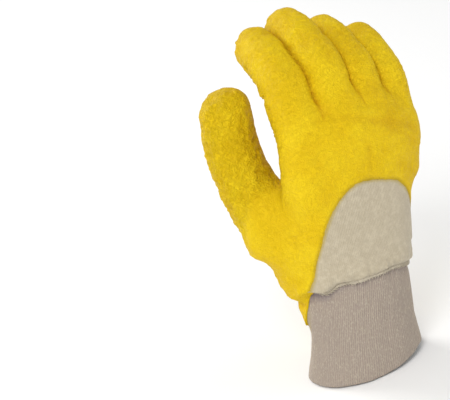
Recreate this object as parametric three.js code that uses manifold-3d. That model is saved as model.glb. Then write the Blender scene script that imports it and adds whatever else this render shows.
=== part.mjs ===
// A right-hand work glove: a cotton jersey back, a rib-knit wrist cuff and a latex coat
// dipped over the fingers, thumb, palm and part of the cuff. It keeps the shape of the
// relaxed hand that it is worn on, and it is hollow from the cuff's mouth to the fingertips.
// Frame: millimetres, +Z from the cuff's mouth towards the fingers, +Y out of the palm,
// -X towards the thumb, origin at the centre of the cuff's mouth.
import * as THREE from "three";
import { mergeVertices } from "three/addons/utils/BufferGeometryUtils.js";
import Module from "manifold-3d";

const wasm = await Module();
wasm.setup();

// Driving dimensions, in millimetres unless the note says degrees.
const cuffLength = 62; // from the hem to the wrist seam
const cuffHemWidth = 81; // outside, across the hand
const cuffHemDepth = 57; // outside, back to palm
const cuffTopWidth = 71;
const cuffTopDepth = 52;
const cuffWaist = 1.2; // how far the cuff draws in at half its length
const cuffWall = 2.6; // double rib knit
const ribDepth = 0.5; // how far a rib stands over the groove beside it
const seamArch = 6; // how far the wrist seam climbs over the back and over the palm
const palmLength = 99; // from the wrist seam to the knuckles
const handWidth = 96; // inside, across the knuckles
const handDepth = 33; // inside, at the knuckles
const fingerLength = 120; // the middle finger, from its root in the palm, inside
const fingerWidth = 22.5; // the middle finger at its root, inside
const fingerDepth = 23.5;
const thumbLength = 112; // from the root in the palm to the tip, inside
const thumbWidth = 30; // at the thumb's second joint, inside
const coatWall = 2.2; // jersey with its latex coat
const jerseyWall = 1.5; // bare jersey
const tongueWall = 1.1; // latex that ran over the cuff
const tongueLength = 36; // how far it ran below the seam
const fitGap = 0.3; // clearance between pieces that meet
const gloveLean = 8; // degrees that the hand leans over the hem, to the little finger

// How finely the surfaces are divided.
const palmSides = 36;
const palmRings = 14;
const fingerSides = 16;
const fingerRings = 13;
const thumbRings = 15;
const webRings = 6;
const ribCount = 60;
const cuffRings = 5;
const outlineSteps = 44;

// The palm from the seam up, a row for each section. Height is a share of palmLength,
// width and depth are shares of handWidth and handDepth, the centre's shifts are shares
// of the same two, tilt is the section's turn towards the palm in degrees, and drop is
// how far its two edges fall below its middle, as a share of palmLength.
const palmSections = [
  { height: 0.07, width: 0.81, depth: 1.74, shiftX: -0.045, shiftY: 0.14, tilt: 0, drop: 0 },
  { height: 0.2, width: 0.83, depth: 1.64, shiftX: -0.045, shiftY: 0.1, tilt: 0, drop: 0 },
  { height: 0.45, width: 0.87, depth: 1.32, shiftX: -0.04, shiftY: -0.02, tilt: 0, drop: 0.01 },
  { height: 0.72, width: 0.93, depth: 1.1, shiftX: -0.035, shiftY: -0.12, tilt: 0, drop: 0.03 },
  { height: 0.92, width: 0.975, depth: 0.96, shiftX: -0.03, shiftY: -0.16, tilt: 4, drop: 0.06 },
  { height: 1.04, width: 0.92, depth: 0.78, shiftX: -0.03, shiftY: -0.12, tilt: 12, drop: 0.08 },
  { height: 1.1, width: 0.84, depth: 0.5, shiftX: -0.03, shiftY: -0.06, tilt: 18, drop: 0.09 },
];

// The fingers, a row for each. The root's place is in shares of handWidth, handDepth and
// palmLength, length in shares of fingerLength and girth in shares of fingerWidth and
// fingerDepth. The bends are in degrees at the knuckle and the two joints beyond it, and
// spread is the lean in degrees towards the thumb.
const fingers = [
  {
    // index
    x: -0.395, y: -0.17, z: 0.71, length: 0.95, girth: 1.09,
    knuckleBend: 28, middleBend: 27, endBend: 17, spread: -1,
  },
  {
    // middle
    x: -0.12, y: -0.22, z: 0.75, length: 0.99, girth: 1.04,
    knuckleBend: 28, middleBend: 30, endBend: 18, spread: 0.5,
  },
  {
    // ring
    x: 0.13, y: -0.2, z: 0.72, length: 0.9, girth: 1.0,
    knuckleBend: 26, middleBend: 31, endBend: 19, spread: -1,
  },
  {
    // little
    x: 0.35, y: -0.1, z: 0.62, length: 0.84, girth: 0.91,
    knuckleBend: 22, middleBend: 30, endBend: 18, spread: -2,
  },
];
const jointPlaces = [0.19, 0.56, 0.8]; // the three bends, in shares of the finger's length
const bendSpan = 0.22; // the share of the length over which one joint bends
const bendSteps = 40; // how many short steps a finger's curve is summed from
const fingerGirths = [
  { along: 0.0, girth: 0.92 },
  { along: 0.22, girth: 0.98 },
  { along: 0.4, girth: 1.0 },
  { along: 0.56, girth: 1.04 },
  { along: 0.68, girth: 1.0 },
  { along: 0.8, girth: 1.01 },
  { along: 1.0, girth: 0.98 },
];

// The thumb from its root in the palm, a row for each section. The places are shares of
// handWidth, handDepth and thumbLength (counted up from the wrist seam), and the girths
// are shares of thumbWidth, across the nail and through it.
const thumbSections = [
  { x: -0.15, y: 0.2, z: 0.04, across: 1.4, through: 1.2 },
  { x: -0.35, y: 0.56, z: 0.2, across: 1.4, through: 1.26 },
  { x: -0.51, y: 0.94, z: 0.41, across: 1.26, through: 1.18 },
  { x: -0.585, y: 1.24, z: 0.62, across: 1.1, through: 1.06 },
  { x: -0.64, y: 1.4, z: 0.84, across: 1.07, through: 0.98 },
  { x: -0.665, y: 1.42, z: 1.03, across: 1.02, through: 0.92 },
];

// The web between the thumb and the index finger, in the same shares as the thumb.
const webSections = [
  { x: -0.3, y: -0.14, z: 0.37, across: 1.3, through: 0.8 },
  { x: -0.43, y: 0.31, z: 0.38, across: 1.36, through: 0.84 },
  { x: -0.55, y: 0.84, z: 0.41, across: 1.3, through: 0.9 },
];

// Which way the back of the thumb faces, its nail's side.
const nailFacing = { x: 0.62, y: 0.78 };

// How round the sections are: the exponent of a superellipse, 2 for an ellipse.
const roundness = { palm: 2.5, finger: 2.2, thumb: 2.1, web: 2.4, tip: 2.3 };
const tipRings = [0.38, 0.68, 0.88, 0.985]; // a round tip's rings, in shares of its length

// The upper edge of the bare jersey on the back, a row for each angle round the hand:
// 180 is the thumb's side, 270 the middle of the back and 360 the little finger's side.
// Height is above the seam, a share of palmLength.
const jerseyEdge = [
  { angle: 170, height: -0.06 },
  { angle: 178, height: 0.05 },
  { angle: 187, height: 0.14 },
  { angle: 200, height: 0.34 },
  { angle: 211, height: 0.55 },
  { angle: 224, height: 0.66 },
  { angle: 245, height: 0.69 },
  { angle: 287, height: 0.64 },
  { angle: 309, height: 0.59 },
  { angle: 328, height: 0.47 },
  { angle: 350, height: 0.26 },
  { angle: 364, height: 0.08 },
  { angle: 368, height: -0.06 },
];

// The lower edge of the latex that ran over the cuff: how far it reaches below the seam
// at each angle, a share of tongueLength. 90 is the middle of the palm.
const tongueEdge = [
  { angle: 8, depth: -0.1 },
  { angle: 32, depth: 0.3 },
  { angle: 56, depth: 0.66 },
  { angle: 80, depth: 0.98 },
  { angle: 110, depth: 1.0 },
  { angle: 138, depth: 0.98 },
  { angle: 154, depth: 0.72 },
  { angle: 166, depth: 0.3 },
  { angle: 176, depth: -0.1 },
];
const cutterReaches = [0.14, 0.24, 0.29, 0.34, 0.4, 0.46, 0.54, 0.95]; // shares of handWidth

const degrees = Math.PI / 180;
const leanOver = new THREE.Matrix4().makeShear(0, 0, 0, 0, Math.tan(gloveLean * degrees), 0);

// One value of a table's column at a place between its rows, on a smooth curve.
function tableValue(rows, key, column, place) {
  let i = 0;
  while (i < rows.length - 2 && place > rows[i + 1][key]) i++;
  const [start, end] = [rows[i], rows[i + 1]];
  const before = rows[Math.max(i - 1, 0)];
  const after = rows[Math.min(i + 2, rows.length - 1)];
  const span = end[key] - start[key];
  const share = THREE.MathUtils.clamp((place - start[key]) / span, 0, 1);
  const rise = (from, to) => ((to[column] - from[column]) / (to[key] - from[key])) * span;
  const square = share * share;
  const cube = square * share;
  return (
    (2 * cube - 3 * square + 1) * start[column] +
    (cube - 2 * square + share) * rise(before, end) +
    (3 * square - 2 * cube) * end[column] +
    (cube - square) * rise(start, after)
  );
}

// Points round a superellipse about centre, from its side axis towards its up axis.
function outlineRing({ centre, side, up, halfSide, halfUp, exponent, sides }) {
  const rounded = (value) => Math.sign(value) * Math.abs(value) ** (2 / exponent);
  return Array.from({ length: sides }, (_, i) => {
    const angle = (i / sides) * 2 * Math.PI;
    return centre
      .clone()
      .addScaledVector(side, halfSide * rounded(Math.cos(angle)))
      .addScaledVector(up, halfUp * rounded(Math.sin(angle)));
  });
}

// A three.js geometry, leant over with the hand, as a solid for cutting and joining.
function solidOf(geometry) {
  const merged = mergeVertices(geometry.applyMatrix4(leanOver), 1e-4);
  const solidWith = (triVerts) =>
    new wasm.Manifold(
      new wasm.Mesh({ numProp: 3, vertProperties: merged.attributes.position.array, triVerts }),
    );
  const triangles = new Uint32Array(merged.index.array);
  const solid = solidWith(triangles);
  return solid.volume() > 0 ? solid : solidWith(triangles.reverse());
}

// A closed body through rings of points. Each end closes on the middle of its ring.
function loftSolid(rings) {
  const sides = rings[0].length;
  const middle = (ring) =>
    ring.reduce((sum, point) => sum.add(point), new THREE.Vector3()).divideScalar(sides);
  const points = [...rings.flat(), middle(rings[0]), middle(rings.at(-1))];
  const lastRow = (rings.length - 1) * sides;
  const faces = [];
  for (let i = 0; i < sides; i++) {
    const next = (i + 1) % sides;
    faces.push(points.length - 2, next, i);
    for (let row = 0; row < lastRow; row += sides) {
      faces.push(row + i, row + next, row + sides + next);
      faces.push(row + i, row + sides + next, row + sides + i);
    }
    faces.push(points.length - 1, lastRow + i, lastRow + next);
  }
  return solidOf(new THREE.BufferGeometry().setFromPoints(points).setIndex(faces));
}

// The height of the wrist seam's line at a distance from the middle of the hand's depth.
function seamHeight(y) {
  const share = Math.min(Math.abs(y) / (cuffTopDepth / 2), 1);
  return cuffLength + seamArch * (share ** 2 - 0.5);
}

// Everything above the wrist seam, from lift over its line.
function aboveSeam(lift) {
  const reach = 3 * handWidth;
  const top = cuffLength + 4 * palmLength;
  const steps = 24;
  const profile = new THREE.Shape();
  profile.moveTo(-reach, seamHeight(-reach) + lift);
  for (let i = 0; i <= steps; i++) {
    const y = cuffTopDepth * (i / steps - 0.5);
    profile.lineTo(y, seamHeight(y) + lift);
  }
  profile.lineTo(reach, seamHeight(reach) + lift);
  profile.lineTo(reach, top);
  profile.lineTo(-reach, top);
  const geometry = new THREE.ExtrudeGeometry(profile, { depth: 2 * reach, bevelEnabled: false });
  geometry.translate(0, 0, -reach);
  const [x, y, z] = [0, 1, 2].map((axis) => new THREE.Vector3().setComponent(axis, 1));
  geometry.applyMatrix4(new THREE.Matrix4().makeBasis(y, z, x));
  geometry.deleteAttribute("normal");
  geometry.deleteAttribute("uv");
  return solidOf(geometry);
}

// The palm with its surface moved out by grow, on a straight neck that reaches down into
// the cuff.
function palmSolid(grow) {
  const neck = [cuffLength / 2, cuffLength + fitGap].map((z) =>
    outlineRing({
      centre: new THREE.Vector3(0, 0, z),
      side: new THREE.Vector3(1, 0, 0),
      up: new THREE.Vector3(0, 1, 0),
      halfSide: cuffTopWidth / 2 + fitGap + tongueWall - coatWall + grow,
      halfUp: cuffTopDepth / 2 + fitGap + tongueWall - coatWall + grow,
      exponent: 2,
      sides: palmSides,
    }),
  );
  const [lowest, highest] = [palmSections[0].height, palmSections.at(-1).height];
  const body = Array.from({ length: palmRings }, (_, i) => {
    const place = THREE.MathUtils.lerp(lowest, highest, i / (palmRings - 1));
    const at = (column) => tableValue(palmSections, "height", column, place);
    const tilt = at("tilt") * degrees;
    const lift = i === palmRings - 1 ? grow : 0; // the closed end has a wall too
    const halfWidth = (at("width") * handWidth) / 2;
    const middleX = at("shiftX") * handWidth;
    const ring = outlineRing({
      centre: new THREE.Vector3(
        middleX,
        at("shiftY") * handDepth + lift * Math.sin(tilt),
        cuffLength + place * palmLength + lift * Math.cos(tilt),
      ),
      side: new THREE.Vector3(1, 0, 0),
      up: new THREE.Vector3(0, Math.cos(tilt), -Math.sin(tilt)),
      halfSide: halfWidth + grow,
      halfUp: (at("depth") * handDepth) / 2 + grow,
      exponent: roundness.palm,
      sides: palmSides,
    });
    const drop = at("drop") * palmLength;
    for (const point of ring) point.z -= drop * ((point.x - middleX) / halfWidth) ** 2;
    return ring;
  });
  return loftSolid([...neck, ...body]);
}

// Where a finger or thumb is cut into rings, with the share of its girth that each ring
// keeps: all of it along the shaft, less and less round the tip.
function ringPlaces(length, tipRadius, count) {
  const shaftRings = count - tipRings.length;
  const shaft = Array.from({ length: shaftRings }, (_, i) => ({
    distance: ((length - tipRadius) * i) / (shaftRings - 1),
    keep: 1,
  }));
  const tip = tipRings.map((share) => ({
    distance: length - tipRadius * (1 - share),
    keep: (1 - share ** roundness.tip) ** (1 / roundness.tip),
  }));
  return [...shaft, ...tip];
}

// A finger with its surface moved out by grow. Its direction turns smoothly at each joint.
function fingerSolid(finger, grow) {
  const length = finger.length * fingerLength + grow;
  const halfWidth = (finger.girth * fingerWidth) / 2 + grow;
  const halfDepth = (finger.girth * fingerDepth) / 2 + grow;
  const bends = [finger.knuckleBend, finger.middleBend, finger.endBend];
  const spread = new THREE.Matrix4().makeRotationY(-finger.spread * degrees);
  const root = new THREE.Vector3(
    finger.x * handWidth,
    finger.y * handDepth,
    cuffLength + finger.z * palmLength,
  );
  const bendAt = (distance) =>
    jointPlaces.reduce((sum, joint, i) => {
      const half = bendSpan / 2;
      const done = THREE.MathUtils.smoothstep(distance / length, joint - half, joint + half);
      return sum + done * bends[i] * degrees;
    }, 0);
  const placeAt = (distance) => {
    const place = new THREE.Vector3();
    const step = distance / bendSteps;
    for (let i = 0; i < bendSteps; i++) {
      const angle = bendAt((i + 0.5) * step);
      place.y += Math.sin(angle) * step;
      place.z += Math.cos(angle) * step;
    }
    return place.applyMatrix4(spread).add(root);
  };
  const rings = ringPlaces(length, halfDepth, fingerRings).map(({ distance, keep }) => {
    const angle = bendAt(distance);
    const girth = tableValue(fingerGirths, "along", "girth", distance / length) * keep;
    return outlineRing({
      centre: placeAt(distance),
      side: new THREE.Vector3(1, 0, 0).applyMatrix4(spread),
      up: new THREE.Vector3(0, Math.cos(angle), -Math.sin(angle)).applyMatrix4(spread),
      halfSide: halfWidth * girth,
      halfUp: halfDepth * girth,
      exponent: roundness.finger,
      sides: fingerSides,
    });
  });
  return loftSolid(rings);
}

// The thumb or its web through a table of sections, with its surface moved out by grow.
// A round tip closes the thumb.
function thumbSolid(sections, { count, exponent, tip, grow }) {
  const places = sections.map(
    (row) =>
      new THREE.Vector3(row.x * handWidth, row.y * handDepth, cuffLength + row.z * thumbLength),
  );
  const path = new THREE.CatmullRomCurve3(places, false, "centripetal");
  const rows = sections.map((row, i) => ({ ...row, along: i / (sections.length - 1) }));
  const pathLength = path.getLength();
  const tipRadius = (sections.at(-1).through * thumbWidth) / 2 + grow;
  const steps = tip
    ? ringPlaces(pathLength + tipRadius, tipRadius, count)
    : Array.from({ length: count }, (_, i) => ({
        distance: (pathLength * i) / (count - 1),
        keep: 1,
      }));
  const nailBack = new THREE.Vector3(nailFacing.x, nailFacing.y, 0).normalize();
  const rings = steps.map(({ distance, keep }) => {
    const share = path.getUtoTmapping(Math.min(distance / pathLength, 1));
    const direction = path.getTangent(share);
    const side = new THREE.Vector3().crossVectors(nailBack, direction).normalize();
    const at = (column) => (tableValue(rows, "along", column, share) * thumbWidth) / 2;
    return outlineRing({
      centre: path
        .getPoint(share)
        .addScaledVector(direction, Math.max(distance - pathLength, 0)),
      side,
      up: new THREE.Vector3().crossVectors(direction, side).normalize(),
      halfSide: (at("across") + grow) * keep,
      halfUp: (at("through") + grow) * keep,
      exponent,
      sides: fingerSides,
    });
  });
  return loftSolid(rings);
}

// The whole hand form with its surface moved out by grow.
function handSolid(grow) {
  const thumb = { count: thumbRings, exponent: roundness.thumb, tip: true, grow };
  const web = { count: webRings, exponent: roundness.web, tip: false, grow };
  return fingers.reduce(
    (hand, finger) => hand.add(fingerSolid(finger, grow)),
    palmSolid(grow).add(thumbSolid(thumbSections, thumb)).add(thumbSolid(webSections, web)),
  );
}

// A cutter round part of the hand, from the first to the last angle of an edge's table,
// with its sides moved out by grow. Its heights at an angle come from lowAt and highAt.
function sectorSolid(rows, grow, lowAt, highAt) {
  const turn = grow / (cuffTopWidth / 2) / degrees;
  const [first, last] = [rows[0].angle - turn, rows.at(-1).angle + turn];
  const rings = Array.from({ length: outlineSteps }, (_, i) => {
    const angle = THREE.MathUtils.lerp(first, last, i / (outlineSteps - 1));
    const [low, high] = [lowAt(angle), highAt(angle)];
    const corner = (reach, z) =>
      new THREE.Vector3(
        reach * handWidth * Math.cos(angle * degrees),
        reach * handWidth * Math.sin(angle * degrees),
        z,
      );
    return [
      ...cutterReaches.map((reach) => corner(reach, low)),
      ...cutterReaches.toReversed().map((reach) => corner(reach, high)),
    ];
  });
  return loftSolid(rings);
}

// The part of the back that stays bare, with its edge moved out by grow.
function bareSector(grow) {
  const highAt = (angle) =>
    cuffLength + tableValue(jerseyEdge, "angle", "height", angle) * palmLength + grow;
  return sectorSolid(jerseyEdge, grow, () => cuffLength - seamArch * 2, highAt);
}

// The part of the cuff that latex ran over.
function tongueSector() {
  const lowAt = (angle) =>
    cuffLength - tableValue(tongueEdge, "angle", "depth", angle) * tongueLength;
  return sectorSolid(tongueEdge, 0, lowAt, () => cuffLength + seamArch * 2);
}

// The cuff's outside as a filled body, moved out by grow and past both ends by beyond,
// with its ribs or without.
function cuffFilling({ grow, beyond, ribs }) {
  const sides = ribs ? 2 * ribCount : palmSides;
  const top = cuffLength + seamArch;
  const heights = Array.from({ length: cuffRings }, (_, i) => (top * i) / (cuffRings - 1));
  if (beyond > 0) heights.unshift(-beyond);
  if (beyond > 0) heights.push(top + beyond);
  const rings = heights.map((z) => {
    const share = THREE.MathUtils.clamp(z / cuffLength, 0, 1);
    const waist = cuffWaist * Math.sin(Math.PI * share) ** 2;
    const halfWidth = THREE.MathUtils.lerp(cuffHemWidth, cuffTopWidth, share) / 2;
    const halfDepth = THREE.MathUtils.lerp(cuffHemDepth, cuffTopDepth, share) / 2;
    return Array.from({ length: sides }, (_, k) => {
      const angle = (k / sides) * 2 * Math.PI;
      const inward = waist - grow + (ribs && k % 2 ? ribDepth : 0);
      return new THREE.Vector3(
        (halfWidth - inward) * Math.cos(angle),
        (halfDepth - inward) * Math.sin(angle),
        z,
      );
    });
  });
  return loftSolid(rings);
}

// A named mesh of a finished solid.
function meshOf(name, solid, material) {
  const { numProp, numVert, vertProperties, triVerts } = solid.getMesh();
  const positions = new Float32Array(3 * numVert);
  for (let i = 0; i < numVert; i++) {
    positions.set(vertProperties.subarray(i * numProp, i * numProp + 3), 3 * i);
  }
  const geometry = new THREE.BufferGeometry()
    .setAttribute("position", new THREE.BufferAttribute(positions, 3))
    .setIndex(new THREE.BufferAttribute(new Uint32Array(triVerts), 1));
  geometry.computeVertexNormals();
  const mesh = new THREE.Mesh(geometry, material);
  mesh.name = name;
  return mesh;
}

const latex = new THREE.MeshStandardMaterial({ color: 0xe0bd1c, roughness: 0.72, metalness: 0 });
const jersey = new THREE.MeshStandardMaterial({ color: 0xd3cbb8, roughness: 0.95, metalness: 0 });
const ribKnit = new THREE.MeshStandardMaterial({ color: 0xc4b9ae, roughness: 0.95, metalness: 0 });

const hollow = handSolid(0);
const handBody = aboveSeam(fitGap / 2);

const jerseyBack = handSolid(jerseyWall)
  .intersect(bareSector(0))
  .intersect(handBody)
  .subtract(hollow);

const tongue = cuffFilling({ grow: fitGap + tongueWall, beyond: 0, ribs: false })
  .subtract(cuffFilling({ grow: fitGap, beyond: cuffWall, ribs: false }))
  .intersect(tongueSector())
  .subtract(aboveSeam(coatWall));

const latexCoat = handSolid(coatWall)
  .intersect(handBody)
  .subtract(hollow)
  .subtract(bareSector(fitGap))
  .add(tongue);

const ribCuff = cuffFilling({ grow: 0, beyond: 0, ribs: true })
  .subtract(cuffFilling({ grow: -cuffWall, beyond: cuffWall, ribs: false }))
  .subtract(aboveSeam(-fitGap / 2));

const glove = new THREE.Group();
glove.add(meshOf("latex_coat", latexCoat, latex));
glove.add(meshOf("jersey_back", jerseyBack, jersey));
glove.add(meshOf("rib_cuff", ribCuff, ribKnit));

export default glove;
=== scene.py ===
import itertools
import math

import bpy
import numpy as np
from mathutils import Matrix, Vector


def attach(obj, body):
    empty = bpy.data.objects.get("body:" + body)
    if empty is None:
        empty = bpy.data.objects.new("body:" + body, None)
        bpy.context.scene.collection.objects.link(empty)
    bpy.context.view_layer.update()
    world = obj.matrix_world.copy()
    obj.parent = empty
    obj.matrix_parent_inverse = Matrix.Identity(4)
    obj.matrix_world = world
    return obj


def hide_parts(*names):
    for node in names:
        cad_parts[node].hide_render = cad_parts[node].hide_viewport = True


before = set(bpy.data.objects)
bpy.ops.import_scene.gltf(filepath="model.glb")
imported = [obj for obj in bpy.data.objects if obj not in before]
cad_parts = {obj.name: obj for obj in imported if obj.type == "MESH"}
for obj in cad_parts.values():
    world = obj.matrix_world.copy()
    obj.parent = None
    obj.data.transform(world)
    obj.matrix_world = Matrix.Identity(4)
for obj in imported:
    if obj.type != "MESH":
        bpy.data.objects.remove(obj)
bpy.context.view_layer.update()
print("frame loaded:", ", ".join(sorted(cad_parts)))

mm = 0.001

# The hand's main sizes in millimetres, the same as the solids follow.
hand = dict(
    palmLength=99, width=96, depth=33, fingerLength=120, fingerWidth=22.5, fingerDepth=23.5,
    thumbLength=112, thumbWidth=30, coatWall=2.2, lean=8,
)

# The rib-knit cuff. Widths are (across the hand, back to palm), in millimetres.
cuff = dict(
    length=62, hem=(81, 57), top=(71, 52), waist=1.2, wall=2.6, ribs=156, ribDepth=0.42, ribWander=0.25,
    columnsPerRib=4, rowsOut=27, rowsIn=14, topRow=66, levelRow=12, seamArch=6, tuck=3.5, hemRound=1.3,
    flare=0.9, flareReach=16, waves=0.55, gathers=0.8, gatherReach=9, drawn=0.9, drawnAngle=-20,
    swell=8, swellAngle=148, swellSpread=24, swellReach=26, noiseCell=11.25, noiseHeight=16, liftReach=26,
    shade=0.55, shadeNoise=0.35, shadeReach=6.5, cornerShade=0.7, cornerAngle=186, cornerSpread=14,
    stainReach=5,
)

# height, width, depth, shiftX, shiftY, tilt in degrees, drop of the edges, roundness
palmRows = [
    (0.07, 0.8, 1.68, -0.015, 0.11, 0, 0, 2.3),
    (0.2, 0.83, 1.6, -0.022, 0.09, 0, 0, 2.4),
    (0.45, 0.86, 1.32, -0.046, -0.02, 0, 0.01, 2.5),
    (0.72, 0.915, 1.1, -0.067, -0.12, 0, 0.03, 2.5),
    (0.92, 0.995, 0.96, -0.05, -0.16, 4, 0.06, 2.5),
    (1.04, 0.94, 0.78, -0.04, -0.12, 12, 0.08, 2.4),
    (1.1, 0.84, 0.5, -0.03, -0.06, 18, 0.09, 2.3),
]

# root x, y, z, length, girth, bends at the three joints and spread, both in degrees
fingerRows = {
    "index": (-0.411, -0.17, 0.71, 0.965, 0.95, 28, 28, 14, -2),
    "middle": (-0.115, -0.22, 0.75, 0.985, 1.04, 28, 30, 18, 1),
    "ring": (0.133, -0.2, 0.72, 0.885, 0.97, 26, 31, 19, 1.1),
    "little": (0.348, -0.1, 0.62, 0.825, 0.99, 22, 30, 18, -1.4),
}
jointPlaces, bendSpan = (0.19, 0.56, 0.8), 0.22

# share of the finger's length, width, depth behind and depth in front of its middle line
fingerShape = [
    (0.0, 1.0, 0.94, 0.96), (0.22, 1.06, 0.98, 1.04), (0.4, 1.04, 0.97, 1.14), (0.52, 1.03, 1.03, 1.06),
    (0.56, 1.0, 1.05, 0.86), (0.6, 1.01, 1.0, 1.03), (0.68, 0.95, 0.97, 0.98), (0.77, 0.94, 0.99, 0.86),
    (0.88, 0.87, 0.94, 0.88), (1.0, 0.8, 0.86, 0.8),
]

# x, y, z, across and through the nail of the thumb, then of its web
thumbRows = [
    (-0.16, 0.18, -0.13, 1.2, 1.1), (-0.285, 0.4, 0.06, 1.3, 1.2), (-0.355, 0.56, 0.2, 1.16, 1.16),
    (-0.405, 0.69, 0.31, 1.18, 1.17), (-0.493, 0.9, 0.41, 1.15, 1.16), (-0.574, 1.22, 0.62, 1.01, 1.05),
    (-0.638, 1.4, 0.84, 1.0, 0.97), (-0.665, 1.42, 1.05, 0.92, 0.88),
]
webRows = [(-0.3, -0.14, 0.37, 1.3, 0.8), (-0.43, 0.31, 0.38, 1.36, 0.84), (-0.55, 0.84, 0.41, 1.3, 0.9)]
nailFacing = (0.62, 0.78, 0)

# How the hand's surface is worked out: the grid's step, bottom and margin, how far neighbouring
# forms run into each other, how round their sections are, and the rows that the cuff lends it.
surface = dict(
    step=1.32, bottom=20, margin=9, far=20.0, batches=12, sections=64, fingerBlend=1.6, palmBlend=7,
    thumbBlend=10, rootBlend=9, rootHeight=(168, 181), fingerPower=2.4, thumbPower=2.15, cuffPower=2.05,
    palmCap=9, webCap=5, cuffRows=(24, 36, 48, 58), overCuff=1.4,
)

# angle round the hand: height of the bare patch's edge over the seam, a share of palmLength
bareEdge = [
    (181, -0.06), (187.5, 0.05), (193, 0.14), (203, 0.34), (213, 0.54), (225, 0.65), (245, 0.69),
    (287, 0.64), (309, 0.59), (328, 0.47), (350, 0.26), (364, 0.08), (368, -0.06),
]
# angle round the cuff: depth that the latex reaches below the seam, in millimetres
tongueEdge = [
    (8, -3.6), (32, 10.8), (56, 23.8), (80, 35.3), (110, 36), (138, 35), (154, 31), (163, 26), (169, 19),
    (174, 8), (178, -4),
]
# angle round the hand: how far the wrist seam is pulled up over its parabola, in millimetres
seamLift = [
    (20, -1), (60, -3), (100, -4), (130, -5.5), (150, -7), (164, -7), (171, -4.5), (177, 0.5), (183, 3.2),
    (190, 2.4), (197, 2), (204, 3.8), (210, 5.2), (219, 4.7), (230, 3.1), (256, 2.4), (283, 2.1), (303, 0.9),
    (331, -0.8), (352, -0.5), (380, -1),
]
# angle round the cuff: how far the hem is pulled up
hemLift = [(262, 0), (292, 2), (318, 4), (342, 3.2), (374, 0)]


def smoothStep(low, high, value):
    share = np.clip((value - low) / (high - low), 0, 1)
    return share * share * (3 - 2 * share)


def bump(value, centre, width):
    return np.exp(-(((value - centre) / width) ** 2))


def unit(rows):
    return rows / np.maximum(np.linalg.norm(rows, axis=-1, keepdims=True), 1e-9)


# A table's values between its rows: a cubic on each span, whose slopes come from the rows on
# either side. The first column is the place along the table.
def tableAt(rows, place):
    rows = np.asarray(rows, float)
    keys, values = rows[:, 0], rows[:, 1:]
    i = np.clip(np.searchsorted(keys, place) - 1, 0, len(keys) - 2)
    before, after = np.maximum(i - 1, 0), np.minimum(i + 2, len(keys) - 1)
    span = (keys[i + 1] - keys[i])[:, None]
    share = np.clip((place - keys[i])[:, None] / span, 0, 1)
    rise = (values[i + 1] - values[before]) / (keys[i + 1] - keys[before])[:, None] * span
    fall = (values[after] - values[i]) / (keys[after] - keys[i])[:, None] * span
    square, cube = share**2, share**3
    return (
        (2 * cube - 3 * square + 1) * values[i] + (cube - 2 * square + share) * rise
        + (3 * square - 2 * cube) * values[i + 1] + (cube - square) * fall
    )


# The same for a table with one value in each row, at places of any shape.
def valueAt(rows, place):
    return tableAt(rows, place.ravel())[:, 0].reshape(place.shape)


# Smooth noise from -1 to 1: random values at the corners of cubes of the given size, eased
# between the corners. The table of values repeats after its last cube.
def noiseAt(places, size, seed):
    cubes = 32
    table = np.random.default_rng(seed).random((cubes, cubes, cubes))
    grid = places / size
    low = np.floor(grid).astype(int)
    ease = grid - low
    ease = ease * ease * (3 - 2 * ease)
    total = 0
    for corner in itertools.product((0, 1), repeat=3):
        weight = np.prod(np.where(corner, ease, 1 - ease), axis=-1)
        total = total + weight * table[tuple(np.moveaxis((low + corner) % cubes, -1, 0))]
    return total * 2 - 1


# Noise in layers, each (height, size of the cubes, seed).
def layered(places, layers):
    return sum(height * noiseAt(places, size, seed) for height, size, seed in layers)


# Ridges like bent lines: sharp tops and round valleys, from smooth noise.
def ridges(places, size, seed):
    return 1 - 2 * np.abs(noiseAt(places, size, seed))


# Places for noise on cloth that goes round the wrist: whole cells in a turn, so that it closes.
def roundCells(angle, height, cellHeight):
    return np.stack([angle / cuff["noiseCell"], height / cellHeight, height * 0], -1)


# An angle in degrees counted from 20 up to 380, because nothing starts or ends at 20.
def fromTwenty(angle):
    return np.where(angle < 20, angle + 360, angle)


def angleRound(x, y):
    return fromTwenty(np.degrees(np.arctan2(y, x)) % 360)


# The way along a line of points, from 0 at its start.
def travelled(points):
    return np.concatenate([[0], np.cumsum(np.linalg.norm(np.diff(points, axis=0), axis=1))])


# The height of the wrist seam's line: a parabola over the hand's depth, and its own lift.
def seamHeight(x, y):
    share = np.minimum(np.abs(y) / (cuff["top"][1] / 2), 1)
    return cuff["length"] + cuff["seamArch"] * (share**2 - 0.5) + valueAt(seamLift, angleRound(x, y))


# Half the cuff's outside width and depth at a height: straight from hem to seam, drawn in by
# a squared sine at the waist.
def cuffHalf(z):
    share = np.clip(z / cuff["length"], 0, 1)
    waist = cuff["waist"] * np.sin(np.pi * share) ** 2
    return [(low + (high - low) * share) / 2 - waist for low, high in zip(cuff["hem"], cuff["top"])]


# A tube: sections on a line, each with its own directions, half sizes on its sides, back and
# front and roundness, and a cap at its end. The table's columns are the centre (0 to 2), side,
# up and forward (3 to 11), the half sizes (12 to 14), the roundness (15) and the drop (16 to 18).
def tube(points, side, up, halfSide, halfBack, halfFront, power, tip, drop=None):
    forward = unit(np.gradient(points, axis=0))
    power = np.broadcast_to(power, len(points))
    drop = np.zeros((len(points), 3)) if drop is None else drop
    steps = np.linalg.norm(np.diff(points, axis=0), axis=1)
    table = np.column_stack([points, side, up, forward, halfSide, halfBack, halfFront, power, drop])
    return dict(table=table, tip=tip, spacing=steps.mean(), length=steps.sum())


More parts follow.
